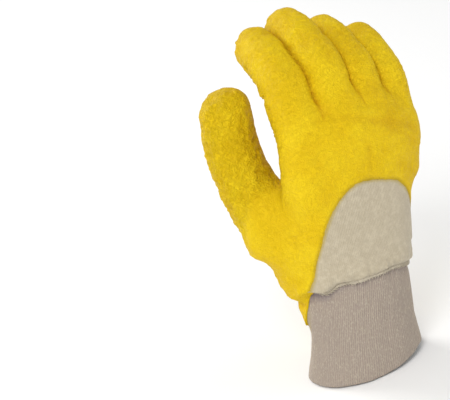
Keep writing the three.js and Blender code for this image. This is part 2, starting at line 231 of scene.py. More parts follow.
# How far places lie outside a tube, with the share along it and the place across it. Each
# place is written in the directions of the nearest section, where its superellipse radius r
# gives the distance (r - 1) over the slope of r. Past the ends the cap's length joins in.
def tubeDistance(form, places):
    table, spacing, last = form["table"], form["spacing"], len(form["table"]) - 1
    centres = table[:, :3]
    near = np.argmin((centres**2).sum(1) - 2 * places @ centres.T, axis=1)
    row = table[near]
    fallen = places.copy()
    fallen[:, 2] += row[:, 16] * ((places[:, 0] - row[:, 17]) / np.maximum(row[:, 18], 1)) ** 2
    along = near + ((fallen - row[:, :3]) * row[:, 9:12]).sum(1) / spacing
    over = np.where(along > last, along - last, np.minimum(along, 0)) * spacing
    along = np.clip(along, 0, last - 1e-6)
    i = along.astype(int)
    share = (along - i)[:, None]
    row = table[i] * (1 - share) + table[i + 1] * share
    offset = fallen - row[:, :3]
    x, y = (offset * row[:, 3:6]).sum(1), (offset * row[:, 6:9]).sum(1)
    power = row[:, 15]
    halfDeep = np.where(y < 0, row[:, 13], row[:, 14])
    half = np.stack([row[:, 12], halfDeep, np.full(len(x), form["tip"])], 1)
    ratio = np.maximum(np.abs(np.stack([x, y, over], 1)) / half, 1e-4)
    radius = np.maximum((ratio ** power[:, None]).sum(1) ** (1 / power), 0.05)
    slope = radius ** (1 - power) * np.sqrt(((ratio ** (power[:, None] - 1) / half) ** 2).sum(1))
    return (radius - 1) / np.maximum(slope, 0.02), along / last, x, y


# A place in millimetres, from shares of the hand's sizes.
def handPlace(x, y, z):
    return np.stack([x * hand["width"], y * hand["depth"], cuff["length"] + z * hand["palmLength"]], -1)


# The palm as one tube that starts as the cuff's own shape with the latex over it.
def palmTube(lines):
    wall, rows = hand["coatWall"], []
    for z in surface["cuffRows"]:
        wide, deep = ((half + surface["overCuff"] - wall) * 2 for half in cuffHalf(z))
        height = (z - cuff["length"]) / hand["palmLength"]
        rows.append((height, wide / hand["width"], deep / hand["depth"], 0, 0, 0, 0, surface["cuffPower"]))
    rows = rows + palmRows
    place = rows[0][0] + (rows[-1][0] - rows[0][0]) * lines
    wide, deep, shiftX, shiftY, tilt, drop, power = tableAt(rows, place).T
    tilt, zero = np.radians(tilt), np.zeros_like(tilt)
    points = handPlace(shiftX, shiftY, place)
    halfWide, halfDeep = wide * hand["width"] / 2, deep * hand["depth"] / 2 + wall
    return tube(
        points, np.stack([zero + 1, zero, zero], 1), np.stack([zero, np.cos(tilt), -np.sin(tilt)], 1),
        halfWide + wall, halfDeep, halfDeep, power, surface["palmCap"],
        np.stack([drop * hand["palmLength"], points[:, 0], halfWide], 1),
    )


# A finger: a line that turns towards the palm at its three joints, each turn eased over the
# bend's span, and then as a whole sideways by the spread.
def fingerTube(lines, x, y, z, length, girth, *bends, spread):
    wall, deep = hand["coatWall"], girth * hand["fingerDepth"] / 2
    size = length * hand["fingerLength"] + wall
    place = lines * (1 - (deep + wall) / size)
    turns = smoothStep(0, 1, (place[:, None] - np.array(jointPlaces) + bendSpan / 2) / bendSpan)
    angle = turns @ np.radians(bends)
    middle = (angle[1:] + angle[:-1]) / 2
    step = np.diff(place)[:, None] * size
    moves = np.stack([middle * 0, np.sin(middle), np.cos(middle)], 1) * step
    path = np.concatenate([np.zeros((1, 3)), np.cumsum(moves, 0)])
    turn = np.array(Matrix.Rotation(-math.radians(spread), 3, "Y"))
    wide, back, front = tableAt(fingerShape, place).T
    return tube(
        path @ turn.T + handPlace(x, y, z), np.broadcast_to(turn[:, 0], path.shape),
        np.stack([angle * 0, np.cos(angle), -np.sin(angle)], 1) @ turn.T,
        wide * girth * hand["fingerWidth"] / 2 + wall, back * girth * hand["fingerDepth"] / 2 + wall,
        front * girth * hand["fingerDepth"] / 2 + wall, surface["fingerPower"], deep + wall,
    )


# The thumb or its web, through the rows of its table, with its sections turned to the nail.
def thumbTube(lines, table, power, cap=None):
    table = np.array(table)
    sizes = hand["width"], hand["depth"], hand["thumbLength"]
    places = table[:, :3] * sizes + (0, 0, cuff["length"])
    along = travelled(places)
    values = tableAt(np.column_stack([along / along[-1], places, table[:, 3:]]), lines)
    points, (across, through) = values[:, :3], values[:, 3:].T * hand["thumbWidth"] / 2 + hand["coatWall"]
    forward = unit(np.gradient(points, axis=0))
    side = unit(np.cross(unit(np.array(nailFacing, float)), forward))
    up = unit(np.cross(forward, side))
    return tube(points, side, up, across, through, through, power, cap or through[-1])


def makeTubes():
    lines = np.linspace(0, 1, surface["sections"])
    tubes = {"palm": palmTube(lines)}
    for name, (*sizes, spread) in fingerRows.items():
        tubes[name] = fingerTube(lines, *sizes, spread=spread)
    tubes["thumb"] = thumbTube(lines, thumbRows, surface["thumbPower"])
    tubes["web"] = thumbTube(lines, webRows, surface["fingerPower"], surface["webCap"])
    return tubes


tubes = makeTubes()
fingerNames = list(fingerRows)


# The smaller of two distances, rounded over blend millimetres where they are close.
def smoothMin(first, second, blend):
    near = np.clip(1 - np.abs(first - second) / blend, 0, 1)
    return np.minimum(first, second) - near * near * blend / 4


# The hand's outside: fingers meet each other in a tight groove, and run smoothly into the
# palm, the thumb and its web.
def joinForms(distance, z):
    fingers = distance["index"]
    low, high = surface["rootHeight"]
    blend = surface["fingerBlend"] + surface["rootBlend"] * smoothStep(high, low, z)
    for name in fingerNames[1:]:
        fingers = smoothMin(fingers, distance[name], blend)
    thumb = smoothMin(distance["thumb"], distance["web"], surface["thumbBlend"])
    palm = smoothMin(distance["palm"], thumb, surface["thumbBlend"])
    return smoothMin(palm, fingers, surface["palmBlend"])


def handDistance(places):
    return joinForms({name: tubeDistance(form, places)[0] for name, form in tubes.items()}, places[:, 2])


# The distance on a grid of places. Each tube is worked out only in its own box, because
# further away it can't matter.
def handOnGrid():
    step, reach, distance = surface["step"], {}, {}
    for name, form in tubes.items():
        centres, size = form["table"][:, :3], form["table"][:, 12:15].max() + surface["margin"]
        reach[name] = centres.min(0) - size, centres.max(0) + size
    low = np.min([box[0] for box in reach.values()], axis=0)
    low[2] = surface["bottom"]
    shape = np.ceil((np.max([box[1] for box in reach.values()], axis=0) - low) / step).astype(int)
    for name, form in tubes.items():
        box = (np.array(reach[name]) - low) / step
        first, last = np.clip(box.astype(int) + [[0], [1]], 0, shape)
        axes = [low[a] + step * np.arange(first[a], last[a]) for a in range(3)]
        places = np.stack(np.meshgrid(*axes, indexing="ij"), -1).reshape(-1, 3)
        batches = np.array_split(places, surface["batches"])
        values = np.concatenate([tubeDistance(form, batch)[0] for batch in batches])
        distance[name] = np.full(shape, surface["far"])
        distance[name][tuple(slice(a, b) for a, b in zip(first, last))] = values.reshape(last - first)
    return joinForms(distance, low[2] + step * np.arange(shape[2])), low


# A surface where the values on a grid change sign. Each cell that it crosses gets one point,
# the mean of the crossings on the cell's edges, and each grid edge that it crosses gets the
# face between the four cells round that edge.
def surfaceOnGrid(values, low, step):
    inside = values < 0
    shape = np.array(values.shape) - 1
    corners = [np.array(c) for c in itertools.product((0, 1), repeat=3)]
    window = [tuple(slice(c[a], c[a] + shape[a]) for a in range(3)) for c in corners]
    count = sum(inside[w].astype(np.int8) for w in window)
    cells = np.argwhere((count > 0) & (count < 8))
    number = np.zeros(shape, int)
    number[tuple(cells.T)] = np.arange(len(cells))
    total, crossings = np.zeros((len(cells), 3)), np.zeros(len(cells))
    for first, second in itertools.combinations(corners, 2):
        if abs(second - first).sum() != 1:
            continue
        start, end = values[tuple((cells + first).T)], values[tuple((cells + second).T)]
        crossed = (start < 0) != (end < 0)
        share = np.where(crossed, start / np.where(crossed, start - end, 1), 0)[:, None]
        total += np.where(crossed[:, None], first + (second - first) * share, 0)
        crossings += crossed
    faces = []
    for axis in range(3):
        ahead, one, two = np.roll(np.eye(3, dtype=int), -axis, 0)
        here = inside[tuple(slice(0, n) for n in shape)]
        beyond = inside[tuple(slice(e, n + e) for e, n in zip(ahead, shape))]
        grid = np.argwhere(here != beyond)
        grid = grid[((grid - one - two) >= 0).all(1)]
        face = np.stack([number[tuple((grid - gone).T)] for gone in (one + two, two, one * 0, one)], 1)
        outward = inside[tuple(grid.T)]
        faces.append(np.where(outward[:, None], face, face[:, ::-1]))
    return low + step * (cells + total / crossings[:, None]), np.concatenate(faces)


def edgesOf(faces):
    after = np.roll(faces, -1, 1)
    return np.concatenate([np.stack([faces[:, i], after[:, i]], 1) for i in range(faces.shape[1])])


# Each value moved towards the mean of its neighbours' values.
def evened(values, faces, times, share=0.5):
    pairs = np.unique(np.sort(edgesOf(faces), axis=1), axis=0)
    here, there = np.concatenate([pairs, pairs[:, ::-1]]).T
    count = np.maximum(np.bincount(here, minlength=len(values)), 1)[:, None]
    flat = values.reshape(len(values), -1).astype(float)
    for _ in range(times):
        sums = [np.bincount(here, column[there], minlength=len(flat)) for column in flat.T]
        flat = flat + (np.stack(sums, 1) / count - flat) * share
    return flat.reshape(values.shape)


# Outward directions at the points: the sum of the faces' area vectors round each.
def normalsOf(points, faces):
    a, b, c = (points[corner] for corner in faces.T)
    across = np.cross(b - a, c - a)
    total = [sum(np.bincount(corner, way, minlength=len(points)) for corner in faces.T) for way in across.T]
    return unit(np.stack(total, 1))


# The part of a triangle mesh where value is positive, cut straight through the triangles.
# facts are rows of numbers at the points, and a cut point gets the mix of its edge's two ends.
def keptWhere(points, faces, value, facts):
    snap = 0.08  # what lies nearer to the line than this counts as on it
    value = np.where(np.abs(value) < snap, 0.0, value)
    inside = value >= 0
    count = inside[faces].sum(1)
    turn = lambda rows, first: np.take_along_axis(rows, (np.arange(3) + first[:, None]) % 3, 1)
    one = faces[count == 1]
    one = turn(one, np.argmax(inside[one], 1))
    two = faces[count == 2]
    two = turn(two, np.argmin(inside[two], 1))
    pairs = np.concatenate([one[:, [0, 1]], one[:, [0, 2]], two[:, [0, 1]], two[:, [0, 2]]])
    unique, back = np.unique(np.sort(pairs, 1), axis=0, return_inverse=True)
    first, second = unique.T
    start, end = value[first], value[second]
    share = start / np.where(start == end, 1, start - end)
    cut = np.split(back.reshape(-1) + len(points), np.cumsum([len(one), len(one), len(two)]))
    faces = np.concatenate([
        faces[count == 3],
        np.stack([one[:, 0], cut[0], cut[1]], 1),
        np.stack([cut[2], two[:, 1], two[:, 2]], 1),
        np.stack([cut[2], two[:, 2], cut[3]], 1),
    ])
    used, faces = np.unique(faces, return_inverse=True)
    faces = faces.reshape(-1, 3)
    faces = faces[(faces != np.roll(faces, 1, 1)).all(1)]

    def cutRows(rows):
        between = (rows[first].T * (1 - share) + rows[second].T * share).T
        return np.concatenate([rows, between])[used]

    return cutRows(points), faces, {name: cutRows(rows) for name, rows in facts.items()}


# The whole outside, evened out on the grid and then moved on to the exact surface along the
# steepest way, in three steps.
def makeHandSurface():
    values, low = handOnGrid()
    points, faces = surfaceOnGrid(values, low, surface["step"])
    points = evened(points, faces, 3, 0.6)
    small = 0.4  # how far apart the distance is read for its slope
    for _ in range(3):
        here = handDistance(points)
        slope = np.stack([(handDistance(points + small * e) - here) / small for e in np.eye(3)], 1)
        points = points - slope * (here / np.maximum((slope**2).sum(1), 0.2))[:, None]
        points = evened(points, faces, 1, 0.15)
    return points, np.concatenate([faces[:, [0, 1, 2]], faces[:, [0, 2, 3]]])


handPoints, handFaces = makeHandSurface()
print("hand surface:", len(handPoints), "points")

# The bends, folds and crinkles of the latex, in millimetres of height. Layers are (height, size,
# seed) of noise, and joints (share of the finger's length, reach, radius of the creases' bow).
# Half widths and the distances over which a thing fades are in millimetres too.
folds = dict(
    swells=[(0.4, 21, 11), (0.25, 9, 12)], crinkle=0.75, backCrinkle=0.22, fingerFront=0.9, fingerBack=0.22,
    thumbBack=0.15,
    joints=[(0.42, 7, 13), (0.68, 5, 20), (0.92, 7, 12)], crescents=1.1, crescentStep=3.3, crescentBend=1.1,
    pads=0.6, padSize=(6, 6, 2.7), palmFolds=1.1, palmFoldSize=4.6, seamRidge=0.9,
    valley=0.5, valleyWidth=2.4, valleyFoot=(92, 104), valleyFade=(6, 3),
    groove=0.6, grooveWidth=1.5, grooveFade=(6, 2),
)
# Single folds on the back, across it (x) and up it (z): points, depth and width in millimetres.
backFolds = [
    ([(-17, 172), (-5, 168), (13, 161), (27, 154), (39, 147)], 0.55, 2.6),
    ([(2, 163), (14, 157), (28, 147), (38, 139)], 0.3, 2.2),
    ([(-3, 150), (-3.5, 139), (-2, 128)], 0.4, 2.0),
    ([(-26, 181), (-22, 172), (-20, 163)], 0.3, 2.4),
    ([(20, 132), (31, 124), (40, 112)], 0.3, 3.0),
]
# How the coat's edge runs over the cloth, in layers of noise, and how ragged the tongue's end
# is: a tooth on each rib, drips that are squeezed along z, and layers of noise.
coatEdge = dict(
    wander=[(1.1, 14, 5), (0.5, 5, 6)], tooth=1.1, drips=[(1.6, 3.2, 8)], dripSqueeze=0.2,
    ragged=[(1.5, 9, 9)],
)


# What each point is and where it lies, all as whole arrays: its distance to each tube, how deep
# it is in a groove between forms, and its distance inside the edges of bare jersey, seam and coat.
def describe(points, normals):
    measured = {name: tubeDistance(form, points) for name, form in tubes.items()}
    nearest, second = np.sort(np.stack([measured[name][0] for name in fingerNames]), 0)[:2]
    toThumb, toPalm = measured["thumb"][0], measured["palm"][0]
    x, y, z = points.T
    angle = np.degrees(np.arctan2(y, x)) % 360
    turned, arc = fromTwenty(angle), math.radians(1) * np.hypot(x, y)
    wander = layered(points, coatEdge["wander"])
    top = cuff["length"] + valueAt(bareEdge, turned) * hand["palmLength"] + wander
    slope = np.abs(valueAt(bareEdge, turned + 1) - valueAt(bareEdge, turned - 1)) * hand["palmLength"] / 2
    bare = (top - z) / np.sqrt(1 + (slope / (arc + 0.1)) ** 2)
    sideways = np.minimum(turned - bareEdge[0][0], bareEdge[-1][0] - turned) * arc
    ragged = coatEdge["tooth"] * np.abs(2 * ((angle * cuff["ribs"] / 360) % 1) - 1)
    ragged = ragged + layered(points * (1, 1, coatEdge["dripSqueeze"]), coatEdge["drips"])
    tongue = cuff["length"] - valueAt(tongueEdge, angle) + ragged + layered(points, coatEdge["ragged"])
    offTongue = (angle > tongueEdge[-1][0]) | (angle < tongueEdge[0][0])
    seam = z - seamHeight(x, y)
    return dict(
        points=points, normals=normals, measured=measured, angle=angle, seam=seam,
        groove=bump(second - nearest, 0, folds["grooveWidth"]) * smoothStep(*folds["grooveFade"], second),
        valley=(
            bump(toThumb - toPalm, 0, folds["valleyWidth"]) * smoothStep(*folds["valleyFoot"], z)
            * smoothStep(*folds["valleyFade"], np.abs(toPalm))
        ),
        bare=np.minimum(bare, sideways + wander), low=np.where(offTongue, seam, np.maximum(seam, z - tongue)),
        palmar=smoothStep(-0.2, 0.75, normals[:, 1]),
    )


# How near places in a plane are to a bent line: a bell over the distance to its nearest piece.
def nearLine(places, line, width):
    nearest = np.full(len(places), 1e3)
    for start, end in zip(np.array(line[:-1], float), np.array(line[1:], float)):
        along = end - start
        share = np.clip((places - start) @ along / (along @ along), 0, 1)
        nearest = np.minimum(nearest, np.linalg.norm(places - start - share[:, None] * along, axis=1))
    return bump(nearest, 0, width)


# How far the latex's outside moves along its normals, how rough its skin is, and where the back's
# single folds are. On a finger, s is the way along it and x and y the place across it. The
# crescents under each joint are sine ridges over s, bent by a parabola of x.
def latexHeight(facts):
    points, palmar = facts["points"], facts["palmar"]
    height = layered(points, folds["swells"])
    strength, pads = np.zeros(len(points)), np.zeros(len(points))
    bend, patchy = folds["crescentBend"] * noiseAt(points, 6, 31), 0.55 + 0.45 * noiseAt(points, 7, 32)
    for name in fingerNames + ["thumb"]:
        far, along, x, y = facts["measured"][name]
        size = tubes[name]["length"]
        s = along * size
        own = smoothStep(3, 0.5, far)
        front, behind, joints = smoothStep(-2, 7, y), folds["fingerBack"], folds["joints"]
        if name == "thumb":  # its pad faces the other way, and it has one joint less
            front, behind, joints = smoothStep(5, -6, y), folds["thumbBack"], joints[1:]
        allRound = behind + (folds["fingerFront"] - behind) * front
        strength = np.maximum(strength, own * smoothStep(0.25, 0.6, along) * allRound)
        across = np.stack([x, y, s], 1) / folds["padSize"]
        pads += own * front * smoothStep(0.3, 0.5, along) * ridges(across, 1, 21)
        for place, reach, bow in joints:
            arc = s - place * size - x**2 / (2 * bow)
            wave = np.sin(2 * np.pi * (arc + bend) / folds["crescentStep"])
            patch = own * front * bump(s, place * size, reach) * patchy
            height += folds["crescents"] * patch * (np.abs(wave) * 1.3 - 0.75)
    height += folds["pads"] * pads
    palmWeight = palmar * (0.5 + 0.5 * noiseAt(points, 17, 14)) * (1 - strength)
    height += folds["palmFolds"] * palmWeight * ridges(points * (0.4, 1, 1), folds["palmFoldSize"], 15)
    weight = folds["backCrinkle"] + (folds["crinkle"] - folds["backCrinkle"]) * np.maximum(palmar, strength)
    height += weight * (ridges(points, 3.6, 16) + 0.5 * ridges(points * (0.6, 1, 1), 6.5, 17))
    # the wrist seam shows through the coat as a ridge with a dip below it
    ridge = bump(facts["seam"], 0.6, 1.3) - 0.9 * bump(facts["seam"], -2.2, 1.6)
    height += folds["seamRidge"] * smoothStep(0, 3, -facts["bare"]) * ridge
    onBack = smoothStep(0.1, -0.5, facts["normals"][:, 1])
    lines = sum(depth * onBack * nearLine(points[:, [0, 2]], line, width) for line, depth, width in backFolds)
    height -= lines + folds["groove"] * facts["groove"] + folds["valley"] * facts["valley"]
    rough = np.clip(0.3 + 0.7 * np.maximum(palmar, strength), 0, 1)
    return height, rough, np.clip(lines, 0, 1)


# How far the cuff's smooth outside stands out from its plain shape, at an angle round it in
# degrees: waves of the cloth, flare at the hem, gathers and a waist at the seam, and a swelling
# below the root of the thumb, which is a bell over the angle.
def cuffOut(angle, z, seam):
    flat = roundCells(angle, z, cuff["noiseHeight"])
    waves = cuff["waves"] * noiseAt(flat, 1, 61) + cuff["flare"] * smoothStep(cuff["flareReach"], 0, z)
    gather = smoothStep(-cuff["gatherReach"], 0, seam)
    gather = gather * (cuff["gathers"] * noiseAt(flat * (3, 1, 1), 1, 63) - cuff["gathers"])
    drawnSide = np.clip(np.cos(np.radians(angle - cuff["drawnAngle"])), 0, 1)
    waist = cuff["drawn"] * smoothStep(-20, -2, seam) * drawnSide
    swell = cuff["swell"] * bump(angle, cuff["swellAngle"], cuff["swellSpread"])
    return waves + gather - waist + swell * smoothStep(-cuff["swellReach"], 0, seam) * smoothStep(6, 2, seam)


# Places on the cuff, and out over it: the angle counts on a circle that is stretched to the
# cuff's width and depth.
def onCuff(x, y, z, seam, over):
    halfWide, halfDeep = cuffHalf(z)
    angle = np.arctan2(y / halfDeep, x / halfWide)
    out = cuffOut(np.degrees(angle) % 360, z, seam) + over
    return np.stack([(halfWide + out) * np.cos(angle), (halfDeep + out) * np.sin(angle), z], 1)


# How the jersey puffs out above the wrist seam and gathers at it: bells over the height, with
# noise. Each corner is (how far, angle and its spread, height and its spread).
jerseyFolds = dict(
    puff=1.7, puckers=0.9, cellHeight=22, corners=[(1.6, 201, 7, 4, 5), (-1.4, 211, 5, 2, 6)], edge=0.9,
    edgeNoise=[(0.3, 4, 53)], sewn=(3.4, 0.2), wall=1.5, under=3, pressed=0.5,
    soft=[(0.35, 16, 51), (0.12, 5, 52)], stain=0.85, stainReach=2.2, shade=0.6, shadeReach=2.5,
)


def looseness(facts):
    seam, angle = facts["seam"], facts["angle"]
    flat = roundCells(angle, seam, jerseyFolds["cellHeight"])
    puff = jerseyFolds["puff"] * bump(seam, 6, 7) * (0.6 + 0.7 * (0.5 + 0.5 * noiseAt(flat, 1, 41)))
    pucker = jerseyFolds["puckers"] * bump(seam, 1.5, 7) * noiseAt(flat * (3, 1.6, 1), 1, 42)
    corner = sum(
        out * bump(angle, around, wide) * bump(seam, up, tall)
        for out, around, wide, up, tall in jerseyFolds["corners"]
    )
    loose = np.where(seam > -1.5, puff + pucker + corner, 0)
    under = smoothStep(8, 60, angle) * smoothStep(179, 168, angle)  # the side where latex holds the cloth
    return loose * (1 - under * smoothStep(0, 4, -facts["bare"]))


# A closed shell: the outside, the same points moved in by the wall, and a rim between them. It
# comes with a number for each face, 0 on the outside and the rim and 1 on the inside.
def shell(outer, inner, faces):
    count = len(outer)
    pairs = edgesOf(faces)
    _, first, number = np.unique(np.sort(pairs, 1), axis=0, return_index=True, return_counts=True)
    start, end = pairs[first[number == 1]].T
    under = start + count
    band = np.concatenate([np.stack([end, start, under], 1), np.stack([end, under, end + count], 1)])
    return (
        np.concatenate([outer, inner]), np.concatenate([faces, faces[:, ::-1] + count, band]),
        np.repeat([0, 1, 0], [len(faces), len(faces), len(band)]),
    )


def leanOver(points):
    points = points.copy()
    points[:, 0] += points[:, 2] * math.tan(math.radians(hand["lean"]))
    return points


def newObject(name, data):
    made = bpy.data.objects.new(name, data)
    bpy.context.scene.collection.objects.link(made)
    return made


# A mesh object in metres from points in millimetres, leant over with the hand.
def newPiece(name, points, faces, materials, slots=None, columns=None):
    mesh = bpy.data.meshes.new(name)
    mesh.from_pydata((leanOver(points) * mm).tolist(), [], faces.tolist())
    for material in materials:
        mesh.materials.append(material)
    if slots is not None:
        mesh.polygons.foreach_set("material_index", slots.astype(np.int32))
    for column, values in (columns or {}).items():
        data = mesh.attributes.new(column, "FLOAT", "POINT").data
        data.foreach_set("value", values.ravel().astype(np.float32))
    mesh.polygons.foreach_set("use_smooth", np.ones(len(mesh.polygons), bool))
    mesh.update()
    piece = newObject(name, mesh)
    mesh.set_sharp_from_angle(angle=math.radians(62))
    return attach(piece, "root")


# Inputs that are sockets are linked, and other values are set.
def feed(tree, node, inputs):
    for name, value in inputs.items():
        if isinstance(value, bpy.types.NodeSocket):
            tree.links.new(value, node.inputs[name])
        else:
            node.inputs[name].default_value = value


def put(tree, kind, inputs=None, **settings):
    node = tree.nodes.new("ShaderNode" + kind)
    for name, value in settings.items():
        setattr(node, name, value)
    feed(tree, node, inputs or {})
    return node


def calc(tree, operation, *values, clamp=False):
    return put(tree, "Math", dict(enumerate(values)), operation=operation, use_clamp=clamp).outputs[0]


def noiseOf(tree, place, scale, detail=2.0, twist=0.0):
    inputs = {"Vector": place, "Scale": scale, "Detail": detail, "Distortion": twist}
    return put(tree, "TexNoise", inputs).outputs["Fac"]


# A named colour with others laid over it in turn, each (mask, share of the mask, colour).
def tinted(tree, first, *layers):
    base = colours[first]
    for mask, share, name in layers:
        inputs = {"Factor": calc(tree, "MULTIPLY", mask, share), 6: base, 7: colours[name]}
        base = put(tree, "Mix", inputs, data_type="RGBA").outputs[2]
    return base


def relief(tree, height, strength, distance):
    return put(tree, "Bump", {"Height": height, "Strength": strength, "Distance": distance}).outputs[0]


def ramp(tree, value, low, high):
    inputs = {"Value": value, "From Min": low, "From Max": high}
    return put(tree, "MapRange", inputs, interpolation_type="SMOOTHSTEP").outputs[0]


def newGroup(name, inputs, outputs):
    tree = bpy.data.node_groups.new(name, "ShaderNodeTree")
    for socket, kind, value in inputs:
        made = tree.interface.new_socket(socket, in_out="INPUT", socket_type="NodeSocket" + kind)
        if value is not None:
            made.default_value = value
    for socket in outputs:
        tree.interface.new_socket(socket, in_out="OUTPUT", socket_type="NodeSocketFloat")
    return tree, tree.nodes.new("NodeGroupInput").outputs, tree.nodes.new("NodeGroupOutput").inputs


# Crumpled skin: creases of two sizes, where bent noise passes through its middle value, and a mask
# of the larger creases for painted shade.
def crinkleGroup():
    sockets = [("Place", "Vector", None), ("Scale", "Float", 420.0), ("Fine", "Float", 0.5)]
    tree, given, out = newGroup("crumpledSkin", sockets, ["Height", "CreaseShade"])
    height = 0.0
    for factor, share, twist in ((1.0, 1.0, 1.4), (2.3, given["Fine"], 0.8)):
        noise = noiseOf(tree, given["Place"], calc(tree, "MULTIPLY", given["Scale"], factor), twist=twist)
        crease = calc(tree, "ABSOLUTE", calc(tree, "SUBTRACT", noise, 0.5))
        height = calc(tree, "MULTIPLY_ADD", ramp(tree, crease, 0.0, 0.13), share, height)
        if factor == 1.0:
            tree.links.new(calc(tree, "SUBTRACT", 1.0, ramp(tree, crease, 0.0, 0.06)), out["CreaseShade"])
    tree.links.new(height, out["Height"])
    return tree


# Yarn of mixed fibres: light and dark flecks, longer than wide.
def fleckGroup():
    sockets = [("Place", "Vector", None), ("Length", "Float", 0.25)]
    tree, given, out = newGroup("mixedYarn", sockets, ["Light", "Dark"])
    stretch = put(tree, "CombineXYZ", {"X": 1.0, "Y": 1.0, "Z": given["Length"]}).outputs[0]
    place = put(tree, "VectorMath", {0: given["Place"], 1: stretch}, operation="MULTIPLY").outputs[0]
    flecks = {"Light": (1500.0, 0.5, 0.72, 0.0), "Dark": (1350.0, 0.52, 0.74, 7.0)}
    for name, (scale, low, high, shift) in flecks.items():
        moved = put(tree, "VectorMath", {0: place, 1: (shift, shift, shift)}, operation="ADD").outputs[0]
        tree.links.new(ramp(tree, noiseOf(tree, moved, scale), low, high), out[name])
    return tree


# Knit loops: columns side by side, each crossed by rows that dip in its middle.
def knitGroup():
    sockets = [("Across", "Float", 0.0), ("Up", "Float", 0.0), ("Gauge", "Float", 1.0)]
    tree, given, out = newGroup("knitLoops", sockets, ["Height"])
    fromMiddle = lambda value: calc(tree, "ABSOLUTE", calc(tree, "SUBTRACT", calc(tree, "FRACT", value), 0.5))
    aside = fromMiddle(calc(tree, "DIVIDE", given["Across"], given["Gauge"]))
    row = calc(tree, "DIVIDE", given["Up"], calc(tree, "MULTIPLY", given["Gauge"], 0.8))
    loop = fromMiddle(calc(tree, "ADD", row, aside))
    height = calc(tree, "SUBTRACT", calc(tree, "MULTIPLY", loop, 1.4), calc(tree, "MULTIPLY", aside, 2.0))
    tree.links.new(height, out["Height"])
    return tree


crumpledSkin, mixedYarn, knitLoops = crinkleGroup(), fleckGroup(), knitGroup()


def newMaterial(name):
    material = bpy.data.materials.new(name)
    material.use_nodes = True
    tree = material.node_tree
    tree.nodes.clear()
    shader = put(tree, "BsdfPrincipled")
    put(tree, "OutputMaterial", {"Surface": shader.outputs[0]})
    return material, tree, shader, put(tree, "TexCoord").outputs["Object"]


def placed(tree, group, inputs):
    node = put(tree, "Group", node_tree=group)
    feed(tree, node, inputs)
    return node.outputs


def column(tree, name):
    return put(tree, "Attribute", attribute_name=name).outputs["Fac"]


colours = dict(
    latex=(0.76, 0.51, 0.004, 1), latexShadeAndBlotch=(0.57, 0.315, 0.002, 1), latexPale=(0.82, 0.58, 0.008, 1),
    latexThin=(0.47, 0.31, 0.02, 1), jersey=(0.48, 0.412, 0.295, 1), jerseyGrey=(0.32, 0.28, 0.225, 1),
    jerseyPale=(0.61, 0.54, 0.4, 1), stain=(0.43, 0.32, 0.06, 1), cuff=(0.43, 0.36, 0.285, 1),
    cuffShade=(0.24, 0.2, 0.225, 1), cuffDark=(0.275, 0.22, 0.2, 1), cuffPale=(0.57, 0.5, 0.39, 1),
    thread=(0.54, 0.49, 0.4, 1),
)
loopWidth = dict(jersey=0.00115, cuff=0.00138)  # of one column of knit, in metres


# Latex: clouds of paler yellow, random blotches of deeper yellow, painted shade in the creases,
# hollows, grooves and folds, and the grey of the cloth where the coat is thin.
def latexMaterial():
    material, tree, skin, place = newMaterial("latex")
    rough = column(tree, "crinkle")
    crinkled = placed(tree, crumpledSkin, {"Place": place, "Scale": 330.0, "Fine": 0.35})
    cloudy, blotchy = noiseOf(tree, place, 45.0, 3.0), noiseOf(tree, place, 260.0, twist=1.2)
    # deep mixes painted shade, darker yellow in the crinkles' creases and in the grooves, hollows and folds
    # of depth, with random blotches of deeper yellow.
    deep = calc(tree, "MULTIPLY", crinkled["CreaseShade"], calc(tree, "MULTIPLY_ADD", rough, 0.24, 0.12))
    deep = calc(tree, "MULTIPLY_ADD", ramp(tree, blotchy, 0.56, 0.72), 0.12, deep)
    deep = calc(tree, "MULTIPLY_ADD", column(tree, "depth"), 0.85, deep, clamp=True)
    patchy = calc(tree, "MULTIPLY_ADD", blotchy, 0.9, 0.45)
    thin = calc(tree, "MULTIPLY", column(tree, "thin"), patchy, clamp=True)
    height = calc(tree, "MULTIPLY", crinkled["Height"], calc(tree, "MULTIPLY_ADD", rough, 0.8, 0.2))
    feed(tree, skin, {
        "Base Color": tinted(
            tree, "latex", (ramp(tree, cloudy, 0.38, 0.68), 1.0, "latexPale"), (deep, 1.0, "latexShadeAndBlotch"),
            (thin, 1.0, "latexThin"),
        ),
        "Roughness": calc(tree, "MULTIPLY_ADD", thin, 0.3, calc(tree, "MULTIPLY_ADD", blotchy, 0.16, 0.46)),
        "Normal": relief(tree, height, 0.85, 0.0006), "Specular IOR Level": 0.12,
    })
    return material


# Cotton cloth: knit loops and fibres as relief, each as strong as its share, and a soft sheen.
def finishCloth(tree, cloth, base, loops, loopShare, fibres, fibreShare, sheen):
    height = calc(tree, "MULTIPLY", fibres, fibreShare)
    height = calc(tree, "MULTIPLY_ADD", loops["Height"], loopShare, height)
    feed(tree, cloth, {
        "Base Color": base, "Normal": relief(tree, height, 0.5, 0.0004), "Roughness": 0.95,
        "Specular IOR Level": 0.15, "Sheen Weight": sheen, "Sheen Roughness": 0.5,
    })


